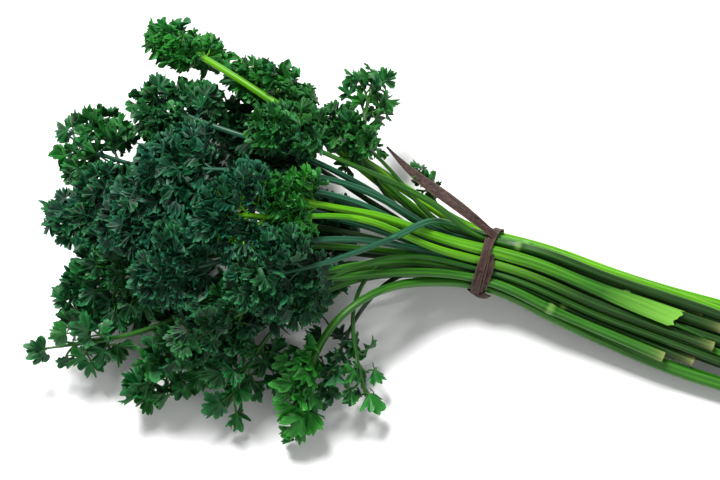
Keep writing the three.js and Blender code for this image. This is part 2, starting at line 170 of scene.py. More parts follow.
def blade_finish():
    """A curly leaflet: dark cool green to bright green, with painted shade on the leaflets deeper in the
    crown, pale veins, a lighter edge that is partly a painted highlight, and a lighter underside.
    """
    made = Finish("curly leaf")
    tooth, out, _ = made.split(made.mark("vein", "Vector"))
    # each leaflet's own tone, with painted shade added to the leaflets deeper in the crown
    tone = made.mark("tone")
    cool = made.mark("cool")
    under = made.mark("under")
    mottle = made.noise(made.mark("place", "Vector"), 260.0, 4.0)
    fine = made.noise(made.mark("place", "Vector"), 1100.0, 2.0)
    shade = (tone - 0.05 + (mottle - 0.5) * 0.8).sum("ADD", 0.0, clamp=True)
    fresh = made.blend(shade, colour("011206"), colour("1b7618"))
    deep = made.blend(shade, colour("000a08"), colour("024432"))
    green = made.blend(cool, fresh, deep)
    middle = (tooth - TEETH / 2).sum("ABSOLUTE")
    rib = 1 - (middle * out).from_to(0.05, 0.25)
    side_rib = 1 - ((middle - TEETH / 3).sum("ABSOLUTE") * out).from_to(0.05, 0.22)
    fork = 1 - (tooth.off_line() * out).from_to(0.04, 0.16)
    veins = rib.sum("MAXIMUM", side_rib * 0.85).sum("MAXIMUM", fork * 0.55)
    # pale green of the veins and edges; the bluish tint it takes on cool leaflets is a painted sheen
    wear_and_sheen = made.blend(cool, colour("3c9034"), colour("2c8258"))
    green = made.blend(veins * 0.4, green, made.blend(0.5, green, wear_and_sheen))
    # the lighter edge and tooth tips are partly the leaf's own paler margin and partly a painted highlight
    edge = out.from_to(0.78, 1.0)
    green = made.blend(edge * (0.15 + mottle * 0.6), green, wear_and_sheen)
    pale = made.blend(0.35, green, colour("2f6a44"))
    green = made.blend(under, green, pale)
    height = fine * 0.35 - veins * 0.9 + mottle * 0.7
    return made.shine(
        Base_Color=green,
        Roughness=0.46 + (mottle - 0.5) * 0.25 + under * 0.14,
        Normal=made.bump(height, 0.55, 0.35 * MM),
        Specular_IOR_Level=0.24,
    )


def stalk_finish(name, upper, lower):
    """A ribbed fresh stalk: streaks and fibres along it, paler ribs with painted shade in the grooves
    between them, rings at its joints, and pale pith with a browned rim at the cut.

    upper and lower each hold the deep, fresh and bright green of one end."""
    made = Finish(name)
    grain = made.mark("grain", "Vector")
    rib = made.mark("rib")
    pith = made.mark("pith")
    swell = made.mark("swell")
    stemward = made.mark("stemward")
    streak = made.noise(made.stretched(grain, (2.6, 2.6, 0.035)), 1.0, 4.0, 0.55)
    patch = made.noise(made.stretched(grain, (0.3, 0.3, 0.03)), 1.0, 2.0)
    fibre = made.noise(made.stretched(grain, (8.0, 8.0, 0.06)), 1.0, 3.0, 0.6)
    deep, fresh, bright = (made.blend(stemward, colour(a), colour(b)) for a, b in zip(upper, lower))
    green = made.blend(streak.from_to(0.3, 0.7), deep, fresh)
    green = made.blend(patch.from_to(0.4, 0.75) * 0.3 + rib * 0.35, green, bright)
    # painted shade: the grooves between the ribs are darkened
    green = made.blend((1 - rib) * 0.3, green, deep)
    green = made.blend(fibre.from_to(0.52, 0.68) * 0.3, green, bright)
    green = made.blend((1 - fibre.from_to(0.34, 0.46)) * 0.45, green, deep)
    green = made.blend(swell.from_to(0.5, 0.95) * (0.15 + streak * 0.4), green, colour("8cb45c"))
    green = made.blend((swell - 0.3).off_ring(0.12) * 0.5, green, deep)
    green = made.blend(made.mark("near_cut") * (0.2 + streak * 0.6), green, colour("a3a564"))
    split_skin = made.blend(streak, colour("3f8414"), colour("86c44a"))
    green = made.blend(made.mark("opened") * 0.9, green, split_skin)
    stops = [(0.0, "5f4a2c"), (0.16, "8d8f50"), (0.4, "b9bf8a"), (1.0, "cfcaa4")]
    inside = made.node(
        "ShaderNodeValToRGB", {"stops": [(place, colour(code)) for place, code in stops]},
        {0: pith + (streak - 0.5) * 0.25})
    green = made.blend(pith.from_to(0.0, 0.08), green, inside)
    return made.shine(Base_Color=green, Roughness=0.38, Specular_IOR_Level=0.3)


def strip_finish():
    """Dried leaf: dark brown, with tan fibres along it and paler worn edges."""
    made = Finish("dried strip")
    grain = made.mark("grain", "Vector")
    edge = made.mark("rib")
    fibre = made.noise(made.stretched(grain, (9.0, 9.0, 0.35)), 1.0, 5.0, 0.65)
    blotch = made.noise(made.stretched(grain, (1.4, 1.4, 0.8)), 1.0, 3.0)
    brown = made.blend(blotch.from_to(0.3, 0.75), colour("1a0e0e"), colour("432a27"))
    brown = made.blend(fibre.from_to(0.52, 0.74) * 0.7, brown, colour("8c6b57"))
    brown = made.blend(edge * 0.35, brown, colour("8f765c"))
    return made.shine(
        Base_Color=brown,
        Roughness=0.62 + (fibre - 0.5) * 0.3,
        Normal=made.bump(fibre, 0.8, 0.3 * MM),
        Specular_IOR_Level=0.35,
    )


TEETH = 12  # round each leaflet
BLADE = blade_finish()
STRIP = strip_finish()
# Deep, fresh and bright green of each kind of stalk. The dark greens are partly painted shade, given to
# stalks that lie in the shade of others.
GREENS = {
    "lime": ("307402", "54a406", "86ca1e"),
    "green": ("0e3a05", "205f0b", "489020"),
    "cool": ("052a1a", "124f34", "438a66"),
    "dark": ("041804", "113808", "2c5e14"),
}
made_stalks = {}

# How each sprig looks: its stalk's green by the leaf and by the cut end, how bright and how cool
# its leaf is, how tightly the leaflets curl, and how far they reach in millimetres.
LOOKS = {
    1: ("lime", "lime", 0.72, 0.1, 1.2, 5.0), 2: ("lime", "dark", 0.68, 0.1, 1.0, 5.1),
    3: ("green", "dark", 0.6, 0.15, 1.1, 5.5), 4: ("green", "dark", 0.6, 0.2, 0.9, 5.5),
    5: ("green", "dark", 0.6, 0.1, 1.0, 5.7), 6: ("dark", "dark", 0.85, 0.0, 0.7, 4.8),
    7: ("cool", "green", 0.55, 0.3, 1.0, 5.7), 8: ("cool", "dark", 0.5, 0.45, 1.1, 5.8),
    9: ("cool", "dark", 0.38, 0.75, 0.9, 6.0), 10: ("green", "green", 0.42, 0.5, 0.9, 6.0),
    11: ("green", "green", 0.5, 0.45, 0.8, 7.4), 12: ("green", "dark", 0.52, 0.35, 0.8, 7.3),
    13: ("green", "dark", 0.52, 0.4, 0.7, 7.3), 14: ("green", "green", 0.68, 0.1, 0.8, 7.6),
    15: ("dark", "dark", 0.42, 0.45, 0.9, 6.0), 16: ("green", "dark", 0.62, 0.2, 0.8, 7.3),
    17: ("cool", "dark", 0.38, 0.85, 1.0, 5.7), 18: ("cool", "dark", 0.32, 0.9, 1.0, 5.7),
    19: ("lime", "dark", 0.34, 0.9, 1.1, 5.1), 20: ("cool", "green", 0.32, 0.85, 1.0, 5.8),
    21: ("cool", "lime", 0.38, 0.7, 1.0, 5.7), 22: ("lime", "green", 0.72, 0.05, 1.2, 4.8),
    23: ("green", "dark", 0.5, 0.75, 0.6, 6.0), 24: ("green", "dark", 0.4, 0.6, 0.9, 6.0),
    25: ("green", "dark", 0.5, 0.3, 1.1, 5.5), 26: ("dark", "dark", 0.26, 0.6, 1.0, 6.8),
    27: ("dark", "dark", 0.3, 0.5, 1.0, 6.8), 28: ("dark", "dark", 0.28, 0.6, 1.0, 6.8),
    29: ("dark", "dark", 0.28, 0.6, 1.0, 6.8),
}
SWELLINGS = {25: 41, 21: 44, 17: 86, 11: 57, 24: 62, 3: 100}  # where a stalk has a joint, along X
NOWHERE = 999  # a place along X that no stalk reaches
OPEN = (4, 7, 11, 13, 15, 16)  # leaves with gaps between their parts
UNDER = (26, 27, 28, 29)  # leaves that lie on the table
PALE = (1, 2, 14, 22, 28)  # the thick stalks
SHEATH = 22  # the stalk that ends in a flat, split sheath
# Stalks that no leaflet covers, and between which places along X, in millimetres.
BARE = {
    1: (-92, -58), 17: (-86, 30), 7: (-50, 30), 22: (-44, 30),
    21: (-44, 30), 8: (-36, 30), 14: (-40, 30), 16: (-40, 30),
}


def stalk_material(number):
    ends = LOOKS[number][:2]
    if ends not in made_stalks:
        name = f"{ends[0]} stalk" if ends[0] == ends[1] else f"{ends[0]} to {ends[1]} stalk"
        made_stalks[ends] = stalk_finish(name, GREENS[ends[0]], GREENS[ends[1]])
    return made_stalks[ends]


# ---- lines and grids -----------------------------------------------------------------------
EASE = 9 * MM  # kinks shorter than this are drawn out of a stalk
PARTS = 12  # steps of a smooth line from one of its points to the next
VECTOR_MARKS = ("vein", "grain", "place")
RIBBED = 1.2 * MM  # a stem with a radius over this shows its ribs


def unit(vectors):
    return vectors / np.maximum(np.linalg.norm(vectors, axis=-1, keepdims=True), 1e-12)


def lengths_along(line):
    return np.concatenate([[0], np.cumsum(np.linalg.norm(np.diff(line, axis=0), axis=1))])


def even_steps(line, step, *values):
    """The same line with points a step apart, and any values along it at those points."""
    length = lengths_along(line)
    wanted = np.linspace(0, length[-1], max(3, round(length[-1] / step) + 1))
    placed = [np.interp(wanted, length, column) for column in (*line.T, *values)]
    return (np.stack(placed[:3], 1), *placed[3:])


def smooth_line(points):
    """A smooth line that passes through every point."""
    before = np.concatenate([[2 * points[0] - points[1]], points[:-2]])
    after = np.concatenate([points[2:], [2 * points[-1] - points[-2]]])
    share = np.linspace(0, 1, PARTS + 1)[:-1, None, None]
    first, last = points[:-1], points[1:]
    curve = 0.5 * (
        2 * first + (last - before) * share
        + (2 * before - 5 * first + 4 * last - after) * share**2
        + (3 * first - before - 3 * last + after) * share**3)
    return np.concatenate([curve.transpose(1, 0, 2).reshape(-1, 3), points[-1:]])


def eased(line):
    """The same line with its small kinks drawn out, and its ends kept."""
    length = lengths_along(line)
    across, along = length[:, None], length[None]
    near = np.exp(-((across - along) / EASE) ** 2 / 2)
    mirror_low = np.exp(-((across + along) / EASE) ** 2 / 2)
    mirror_high = np.exp(-((2 * length[-1] - across - along) / EASE) ** 2 / 2)
    step = np.gradient(length)
    total = ((near + mirror_low + mirror_high) * step).sum(1, keepdims=True)
    low, high = 2 * line[0] - line, 2 * line[-1] - line
    return ((near * step) @ line + (mirror_low * step) @ low + (mirror_high * step) @ high) / total


def bent_line(start, towards, end, count=9):
    """A line that leaves start towards a point and curves over to end."""
    share = np.linspace(0, 1, count)[:, None]
    return (1 - share) ** 2 * start + 2 * share * (1 - share) * towards + share**2 * end


def directions(line, first=UP):
    """Forward, side and top directions along a line, which turn as little as possible."""
    forward = unit(np.gradient(line, axis=0))
    top = np.empty_like(forward)
    last = first
    for k, ahead in enumerate(forward):
        last = last - ahead * (last @ ahead)
        last = last / max(np.linalg.norm(last), 1e-9)
        top[k] = last
    return forward, np.cross(top, forward), top


class Pile:
    """The grids of points that make one piece, with what is marked on each point."""

    def __init__(self):
        self.points, self.faces, self.corners, self.slots = [], [], [], []
        self.marks = {}
        self.count = 0

    def add(self, grids, corners, slot, wrapped=False, **marks):
        """Adds a stack of grids. corners says where each face's corners lie on the flat map."""
        stack, rows, columns = grids.shape[:3]
        row, column = np.meshgrid(np.arange(rows - 1), np.arange(columns - 1 + wrapped), indexing="ij")
        row, column = row.ravel(), column.ravel()
        beside = (column + 1) % columns
        face = np.stack([row * columns + column, row * columns + beside,
                         (row + 1) * columns + beside, (row + 1) * columns + column], 1)
        start = self.count + np.arange(stack)[:, None, None] * rows * columns
        self.faces.append((face[None] + start).reshape(-1, 4))
        self.points.append(grids.reshape(-1, 3))
        self.corners.append(corners.reshape(-1, 4, 2))
        self.slots.append(np.full(stack * len(face), slot))
        for name, values in marks.items():
            values = np.asarray(values, float)
            if name in VECTOR_MARKS:
                values = np.broadcast_to(values, (*grids.shape[:3], 3)).reshape(-1, 3)
            else:
                values = np.broadcast_to(values, grids.shape[:3]).reshape(-1)
            self.marks.setdefault(name, []).append((self.count, values))
        self.count += stack * rows * columns

    def piece(self, name, materials):
        points = np.concatenate(self.points)
        points[:, 2] = np.maximum(points[:, 2], REST)
        faces = np.concatenate(self.faces)
        mesh = bpy.data.meshes.new(name)
        mesh.from_pydata(points, [], faces)
        mesh.polygons.foreach_set("material_index", np.concatenate(self.slots))
        mesh.polygons.foreach_set("use_smooth", np.ones(len(faces), bool))
        for mark, parts in self.marks.items():
            vector = parts[0][1].ndim == 2
            values = np.zeros((self.count, 3) if vector else self.count, np.float32)
            for start, part in parts:
                values[start:start + len(part)] = part
            layer = mesh.attributes.new(mark, "FLOAT_VECTOR" if vector else "FLOAT", "POINT")
            layer.data.foreach_set("vector" if vector else "value", values.ravel())
        unwrapped = mesh.uv_layers.new(name="OFBake")
        unwrapped.data.foreach_set("uv", np.concatenate(self.corners).ravel().astype(np.float32))
        for material in materials:
            mesh.materials.append(material)
        mesh.update()
        made = bpy.data.objects.new(name, mesh)
        bpy.context.scene.collection.objects.link(made)
        return made


def strip_corners(rows, columns, patch, folds=1, wrapped=True):
    """Where a tube's faces lie on the flat map: its length is cut into folds, side by side."""
    low_u, low_v, high_u, high_v = patch
    faces_across = columns - 1 + wrapped
    row, column = np.meshgrid(np.arange(rows - 1), np.arange(faces_across), indexing="ij")
    row, column = row.ravel()[:, None], column.ravel()[:, None]
    rows_each = math.ceil((rows - 1) / folds)
    fold = row // rows_each
    along = (row - fold * rows_each + [0, 0, 1, 1]) / rows_each
    across = (column + [0, 1, 1, 0]) / faces_across
    u = low_u + (high_u - low_u) * (fold + 0.04 + 0.92 * across) / folds
    v = low_v + (high_v - low_v) * (0.01 + 0.98 * along)
    return np.stack([u, v], -1)


def add_tube(pile, line, radius, sides, patch, slot, folds=1, ribs=0, flat=None, cut=False, swelling=None,
             opened=0.0, torn=0.0):
    """A stem along a line, with ribs and a channel along it. flat says how wide and high it is of its
    radius, cut that it starts at a cut end, opened how far it is split flat, and torn how ragged its
    start is."""
    forward, side, up = directions(line)
    angle = np.arange(sides) * 2 * math.pi / sides
    ridge = 0.5 + 0.5 * np.cos(angle * ribs) if ribs else np.zeros(sides)
    length = lengths_along(line)
    reach = radius[:, None] * (1 + 0.07 * (ridge - 0.5) * (ribs > 0))
    if ribs:  # the channel along a leaf stalk's upper side, and its uneven girth
        turned = angle - 1.3 - 0.5 * np.sin(length / (34 * MM) + line[0, 1] / (4 * MM))[:, None]
        reach = reach * (1 - 0.14 * np.exp(-(turned / 0.42) ** 2))
        reach = reach * (1 + 0.05 * np.sin(length / (9 * MM) + line[0, 2] / (2 * MM)))[:, None]
    wide = reach * (1 if flat is None else flat[0][:, None])
    high = reach * (1 if flat is None else flat[1][:, None])
    ring = (line[:, None] + side[:, None] * (wide * np.cos(angle))[..., None]
            + up[:, None] * (high * np.sin(angle))[..., None])
    jagged = torn * (np.cos(angle + 0.4) + 0.35 * np.cos(angle * 5) + 0.3 * np.sin(angle * 8))
    ring = ring + forward[:, None] * (np.exp(-length / (4 * MM))[:, None] * jagged)[..., None]
    grain = np.empty((*ring.shape[:2], 3))
    grain[..., 0] = np.cos(angle) * 1.6
    grain[..., 1] = np.sin(angle) * 1.6
    grain[..., 2] = length[:, None] / MM
    grain += rng.uniform(0, 90, 3)
    near_cut = np.exp(-length / (2.5 * MM)) * (cut > 0)
    stemward = np.clip(line[:, 0] / (70 * MM), 0, 1)
    swell = np.zeros(len(line)) if swelling is None else swelling
    shape = ring.shape[:2]
    pile.add(ring[None], strip_corners(len(line), sides, patch, folds), slot, wrapped=True, grain=grain[None],
             rib=(np.broadcast_to(ridge, shape) * (radius[:, None] > RIBBED))[None],
             near_cut=np.broadcast_to(near_cut[:, None], shape)[None],
             stemward=np.broadcast_to(stemward[:, None], shape)[None],
             swell=np.broadcast_to(swell[:, None], shape)[None],
             opened=np.broadcast_to(np.reshape(opened, (-1, 1)), shape)[None])
    return ring, forward


def add_cap(pile, ring, outward, slot, patch, depth, pith=True):
    """Closes a stem's end with rings that run in to its middle."""
    middle = ring.mean(0)
    shares = np.array([1.0, 0.97, 0.86, 0.6, 0.3, 0.04])
    sink = np.array([0.0, 0.0, -0.35, -0.5, -0.3, -0.2]) * depth
    rings = middle + (ring - middle)[None] * shares[:, None, None]
    rings = rings + outward * sink[:, None, None]
    grain = (rings - middle) / MM
    inner = np.clip((1 - shares) * 1.25, 0, 1) * pith
    low_u, low_v, high_u, high_v = patch
    angle = np.arange(len(ring) + 1) * 2 * math.pi / len(ring)
    centre = np.array([(low_u + high_u) / 2, (low_v + high_v) / 2])
    half = np.array([high_u - low_u, high_v - low_v]) * 0.48
    disc = centre + half * shares[:, None, None] * np.stack([np.cos(angle), np.sin(angle)], 1)[None]
    corners = np.stack([disc[:-1, :-1], disc[:-1, 1:], disc[1:, 1:], disc[1:, :-1]], 2)
    pile.add(rings[None], corners, slot, wrapped=True, grain=grain[None],
             pith=np.broadcast_to(inner[:, None], rings.shape[:2])[None],
             rib=0.0, near_cut=0.6 * pith, stemward=1.0)


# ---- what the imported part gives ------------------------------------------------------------
RING = 6  # corners of a packed stalk's section
WELD = 0.02 * MM  # corners nearer than this are the same one
PROBE = 3.2  # millimetres between the places tried in a leaf
DEEP = 0.5 * MM  # a place counts as inside from this far under the surface


def packed_points(name):
    return np.array([vertex.co[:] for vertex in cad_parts[name].data.vertices])


def packed_rings(name):
    """The middle and radius of each section of a packed stalk, from its cut end to its leaf."""
    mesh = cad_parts[name].data
    points = packed_points(name)
    _, first, same = np.unique(np.round(points / WELD).astype(int), axis=0,
                               return_index=True, return_inverse=True)
    same = same.ravel()
    points = points[first]
    beside = {k: set() for k in range(len(points))}
    for polygon in mesh.polygons:
        corners = [int(same[k]) for k in polygon.vertices]
        for k in corners:
            beside[k].update(corners)
    ring = set(np.argsort(-points[:, 0])[:RING].tolist())
    seen = set()
    middles, radii = [], []
    while ring:
        own = points[sorted(ring)]
        middles.append(own.mean(0))
        radii.append(np.linalg.norm(own - own.mean(0), axis=1).mean())
        seen |= ring
        ring = set().union(*(beside[k] for k in ring)) - seen
    return np.array(middles), np.array(radii)


def spots_inside(name, spacing):
    """Evenly spread places inside a packed leaf, with the way that its nearest side faces."""
    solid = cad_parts[name]
    points = packed_points(name)
    low, high = points.min(0), points.max(0)
    steps = [np.arange(a, b, PROBE * MM) for a, b in zip(low, high)]
    tried = np.stack(np.meshgrid(*steps, indexing="ij"), -1).reshape(-1, 3)
    tried = tried + rng.uniform(-1.5, 1.5, tried.shape) * MM
    inside, facing = [], []
    for place in tried:
        _, near, normal, _ = solid.closest_point_on_mesh(Vector(place))
        if (Vector(place) - near).dot(normal) < -DEEP:
            inside.append(place)
            facing.append(normal[:])
    inside, facing = np.array(inside), np.array(facing)
    wanted = max(6, round(len(inside) * PROBE**3 / spacing**3))
    chosen = [int(np.argmax(np.linalg.norm(inside - inside.mean(0), axis=1)))]
    gap = np.linalg.norm(inside - inside[chosen[0]], axis=1)
    while len(chosen) < wanted:
        chosen.append(int(np.argmax(gap)))
        gap = np.minimum(gap, np.linalg.norm(inside - inside[chosen[-1]], axis=1))
    return inside[chosen], facing[chosen]


# ---- leaflets ------------------------------------------------------------------------------
FAN = math.radians(112)  # half of a leaflet's opening
ROWS = np.array([0.05, 0.28, 0.52, 0.74, 0.9, 1.0])
STEPS = 4  # columns to a tooth
THICK_BLADE = 0.32 * MM
LOBES = 3
LOBE_DEPTH = 0.42  # how far the cut between two lobes runs in


def outlines(count):
    """How far each leaflet reaches at each angle: three lobes, each with four round teeth."""
    tooth = np.linspace(0, TEETH, TEETH * STEPS + 1)
    angle = (tooth / TEETH * 2 - 1) * FAN
    lobe = tooth * LOBES / TEETH % 1
    body = 1 - 0.3 * (np.abs(angle) / FAN) ** 2
    round_lobe = 0.8 + 0.2 * np.sin(math.pi * lobe) ** 0.6
    column = FAN * 2 / TEETH / STEPS
    sinus = np.ones(len(tooth))
    for k in range(1, LOBES):
        sinus -= LOBE_DEPTH * np.exp(-((angle - (k * 2 / LOBES - 1) * FAN) / (1.1 * column)) ** 2)
    jag = 0.83 + 0.17 * np.abs(np.sin(math.pi * tooth)) ** 0.5
    uneven = 1 + 0.14 * rng.uniform(-1, 1, (count, len(tooth)))
    uneven = (uneven + np.roll(uneven, 1, 1) + np.roll(uneven, -1, 1)) / 3
    return tooth, angle, body * round_lobe * sinus * jag * uneven


def add_leaflets(pile, base, ahead, top, size, curl, tone, cool, cells):
    """Ruffled leaflets, each a fan from its base. Both sides are drawn, a blade's thickness apart.

    vein marks the tooth and the share of the way out, and a number that is each leaflet's own."""
    count = len(base)
    side = np.cross(ahead, top)
    tooth, angle, reach = outlines(count)
    out = ROWS[None, :, None]
    spread = angle * (1 - 0.12 * curl[:, None])
    far = out * (0.62 + (reach[:, None] - 0.62) * out**1.5)
    waves = rng.uniform(0, 2 * math.pi, (3, count, 1))
    slow = rng.uniform(2.2, 3.8, (count, 1))
    quick = rng.uniform(8.0, 12.0, (count, 1))
    lobe = np.clip(tooth * LOBES // TEETH, 0, LOBES - 1).astype(int)
    across_lobe = (tooth * LOBES / TEETH % 1) * 2 - 1
    tilt = rng.uniform(-0.26, 0.26, (count, LOBES))[:, lobe] * across_lobe
    drop = rng.uniform(-0.25, 0.15, (count, LOBES))[:, lobe] * (1 - across_lobe**4)
    fold = rng.uniform(0.0, 0.3, (count, LOBES))[:, lobe] * across_lobe**2
    ruffle = (0.24 * np.sin(slow * angle + waves[0]) + tilt + drop + fold) * curl[:, None]
    frill = (0.17 * np.sin(quick * angle + waves[1]) + 0.05 * np.cos(2 * math.pi * tooth)) * curl[:, None]
    cup = rng.uniform(-0.45, 0.1, (count, 1, 1))
    lift = ruffle[:, None] * out**1.6 + frill[:, None] * out**3 + cup * out**2
    x = far * np.sin(spread)[:, None]
    y = far * np.cos(spread)[:, None]
    y = y + 0.1 * out**2 * np.sin(quick * angle + waves[2])[:, None] * curl[:, None, None]
    grid = (base[:, None, None] + size[:, None, None, None] * (
        x[..., None] * side[:, None, None] + y[..., None] * ahead[:, None, None]
        + lift[..., None] * top[:, None, None]))
    outward = unit(np.cross(np.gradient(grid, axis=2), np.gradient(grid, axis=1)))
    outward = outward * np.sign((outward * top[:, None, None]).sum(-1).mean((1, 2)))[:, None, None, None]
    half = THICK_BLADE / 2 * (1 - 0.75 * out[..., None])
    vein = np.empty((*grid.shape[:3], 3))
    vein[..., 0] = tooth
    vein[..., 1] = out
    vein[..., 2] = rng.uniform(0, 9, (count, 1, 1))
    flat_x, flat_y = np.broadcast_arrays(x, y)
    for under, sign in ((0.0, 1), (1.0, -1)):
        cell = cells[under > 0]
        flat = np.stack([cell[:, None, None, 0] + cell[:, None, None, 2] * (0.5 + 0.46 * flat_x),
                         cell[:, None, None, 1] + cell[:, None, None, 3] * (0.34 + 0.56 * flat_y)], -1)
        faces = np.stack([flat[:, :-1, :-1], flat[:, :-1, 1:], flat[:, 1:, 1:], flat[:, 1:, :-1]], 3)
        layer = grid + sign * half * outward
        if sign < 0:
            layer, faces = layer[:, :, ::-1], faces[:, :, ::-1][..., [1, 0, 3, 2], :]
        marks = vein[:, :, ::-1] if sign < 0 else vein
        pile.add(layer, faces, 0, vein=marks, place=layer, tone=tone[:, None, None],
                 cool=cool[:, None, None], under=under)


def cells_for(count, low, high):
    """Places on the flat map for both sides of each leaflet, in rows from low to high."""
    shape = 1.25  # a cell's width over its height, for a map that is square
    across = max(1, math.ceil(math.sqrt(2 * count / (high - low) / shape)))
    while across * math.floor((high - low) * across * shape) < 2 * count:
        across += 1
    wide = 1 / across
    tall = wide / shape
    number = np.arange(2 * count)
    cell = np.stack([number % across * wide, low + number // across * tall,
                     np.full(2 * count, wide), np.full(2 * count, tall)], 1)
    return cell[:count], cell[count:]


# ---- one sprig -----------------------------------------------------------------------------
STEM_BAND = 0.2  # the lower part of a leaf's flat map, which holds its stems
MAIN_BAND = 0.06  # the lowest part of that, for the main stem
LINE_STEP, STALK_STEP, STEM_STEP = 1.2 * MM, 1.8 * MM, 1.6 * MM  # between one ring and the next
INTO_LEAF = 13 * MM  # how far a stalk has run on into its leaf by its end
STATIONS = np.array([0.1, 0.36, 0.58, 0.76, 0.9])  # where stems branch off in pairs, along a leaf
STEM_TIP = 0.42 * MM  # the main stem's radius at its tip
SIDE_STEM = (0.62, 0.4)  # radii in millimetres, where a stem branches off and at its end
LEAFLET_STEM = (0.42, 0.3)
UNDER_SPREAD = 1.2  # how much wider the leaves on the table are drawn
GATHER = 0.26  # how far the leaflets of an outer group are drawn together
LEAF_PIECE = 60 * MM  # the least length of a leaf with its part of the stalk
COVER = 4.5 * MM  # a leaflet nearer than this to a bare stalk, from above, would cover it


def leaf_of(number, line, radius):
    """The divided leaf at the end of a stalk. Returns where its own stem starts along the stalk."""
    name = f"leaf_{number:02d}"
    tone, cool, curl, size = LOOKS[number][2:]
    spacing = size - 0.8 + 1.0 * (number in OPEN) - 1.2 * (number in UNDER)
    spots, facing = spots_inside(name, spacing)
    clear = ~hides_a_bare_stalk(number, spots)
    spots, facing = spots[clear], facing[clear]
    if number in UNDER:
        spots = spots.mean(0) + (spots - spots.mean(0)) * [UNDER_SPREAD, UNDER_SPREAD, 1]
    middle = spots.mean(0)
    entry = line[np.argmin(np.abs(lengths_along(line) - lengths_along(line)[-1] + INTO_LEAF))]
    ahead = unit(middle - entry)
    reach = ((spots - entry) @ ahead).max()
    tip = entry + ahead * reach * 0.86 + (middle - entry - ahead * ((middle - entry) @ ahead))
    outward = unit(middle - CORE)
    outward = unit(outward - ahead * (outward @ ahead))
    aside = np.cross(outward, ahead)
    end_way = unit(line[-1] - line[-4])
    gap = np.linalg.norm(tip - line[-1])
    rachis = bent_line(line[-1], line[-1] + end_way * gap * 0.4, tip, 13)[1:]
    body = np.concatenate([line, rachis])
    length = lengths_along(body)
    begin = start_of_leaf_stem(line, packed_points(name))
    stem = body[begin:]
    grown = np.concatenate([radius, np.linspace(radius[-1], STEM_TIP, len(rachis) + 1)[1:]])[begin:]
    pile = Pile()
    stem, grown = even_steps(stem, STEM_STEP, grown)
    add_tube(pile, stem, grown, 16, (0, 0, 1, MAIN_BAND), 1, ribs=5)

    # Stems branch off in pairs at stations, and a stem goes out to each leaflet.
    from_entry = length[len(line) - 1] - INTO_LEAF
    whole = length[-1] - from_entry
    places = [np.array([np.interp(from_entry + s * whole, length, column) for column in body.T])
              for s in STATIONS]
    share = np.clip((spots - entry) @ ahead / reach, 0, 1)
    station = np.clip(np.searchsorted(STATIONS, share - 0.1) - 1, 0, len(STATIONS) - 1)
    left = (spots - middle) @ aside > 0
    stems, attach = [], np.empty_like(spots)
    for group in {(int(s), bool(b)) for s, b in zip(station, left)}:
        members = np.flatnonzero((station == group[0]) & (left == group[1]))
        root = places[group[0]]
        goal = spots[members].mean(0)
        outer = np.clip(np.linalg.norm((goal - CORE) / CROWN_HALF) * 2 - 1.2, 0, 1)
        spots[members] = goal + (spots[members] - goal) * (1 - GATHER * outer)
        pinna = bent_line(root, root + ahead * np.linalg.norm(goal - root) * 0.3 + (goal - root) * 0.2,
                          root + (goal - root) * 0.85)
        stems.append((pinna, *SIDE_STEM))
        for k in members:
            near = np.linalg.norm(pinna - spots[k], axis=1)
            attach[k] = pinna[max(2, int(np.argmin(near)) - 2)]
    way = unit(spots - attach + 0.25 * ahead * size * MM + rng.normal(0, 1.0, spots.shape) * MM)
    top = unit(outward * 0.75 + facing * 0.55 + UP * 0.3 + rng.normal(0, 0.33, spots.shape))
    top = unit(top - way * (top * way).sum(1, keepdims=True))
    big = size * MM * rng.uniform(0.76, 1.24, len(spots))
    base = spots - way * big[:, None] * 0.42
    for k in range(len(spots)):
        towards = base[k] - way[k] * np.linalg.norm(base[k] - attach[k]) * 0.4
        stems.append((bent_line(attach[k], towards, base[k] + way[k] * 0.5 * MM, 6), *LEAFLET_STEM))
    rows = math.ceil(len(stems) / 3)
    for k, (stem_line, thick, thin) in enumerate(stems):
        low_u = k % 3 / 3
        low_v = MAIN_BAND + (STEM_BAND - MAIN_BAND) * (k // 3) / rows
        patch = (low_u, low_v, low_u + 0.33, low_v + (STEM_BAND - MAIN_BAND) / rows)
        add_tube(pile, stem_line, np.linspace(thick, thin, len(stem_line)) * MM, 7, patch, 1)
    # painted shade: leaflets deeper inside the crown are given a darker tone, on top of each sprig's own tone
    depth = np.linalg.norm((spots - CORE) / CROWN_HALF, axis=1)
    lit = tone + 0.8 * (np.clip(depth, 0.4, 1.15) - 0.95) + rng.normal(0, 0.14, len(spots))
    add_leaflets(pile, base, way, top, big, curl * rng.uniform(0.7, 1.25, len(spots)), np.clip(lit, 0, 1),
                 np.clip(cool + rng.normal(0, 0.12, len(spots)), 0, 1), cells_for(len(spots), STEM_BAND, 1.0))
    made = pile.piece(f"curly_{name}", [BLADE, stalk_material(number)])
    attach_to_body(made, "root")
    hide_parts(name)
    return begin


def hides_a_bare_stalk(number, spots):
    """Whether a leaflet at each place would lie over one of the stalks that show."""
    hides = np.zeros(len(spots), bool)
    for other, (low, high) in BARE.items():
        if number == other:
            continue
        line = lines[other - 1][0]
        line = line[(line[:, 0] > low * MM) & (line[:, 0] < high * MM)]
        apart = spots[:, None] - line[None]
        over = (np.linalg.norm(apart[..., :2], axis=2) < COVER) & (apart[..., 2] > -1 * MM)
        hides |= over.any(1)
    return hides


def start_of_leaf_stem(line, leaf):
    """The leaf keeps the upper end of its stalk, enough to be a piece of a good length."""
    for begin in range(len(line) - 9, 0, -1):
        points = np.concatenate([line[begin:], leaf])
        if (points.max(0) - points.min(0)).max() > LEAF_PIECE:
            return begin
    return 1


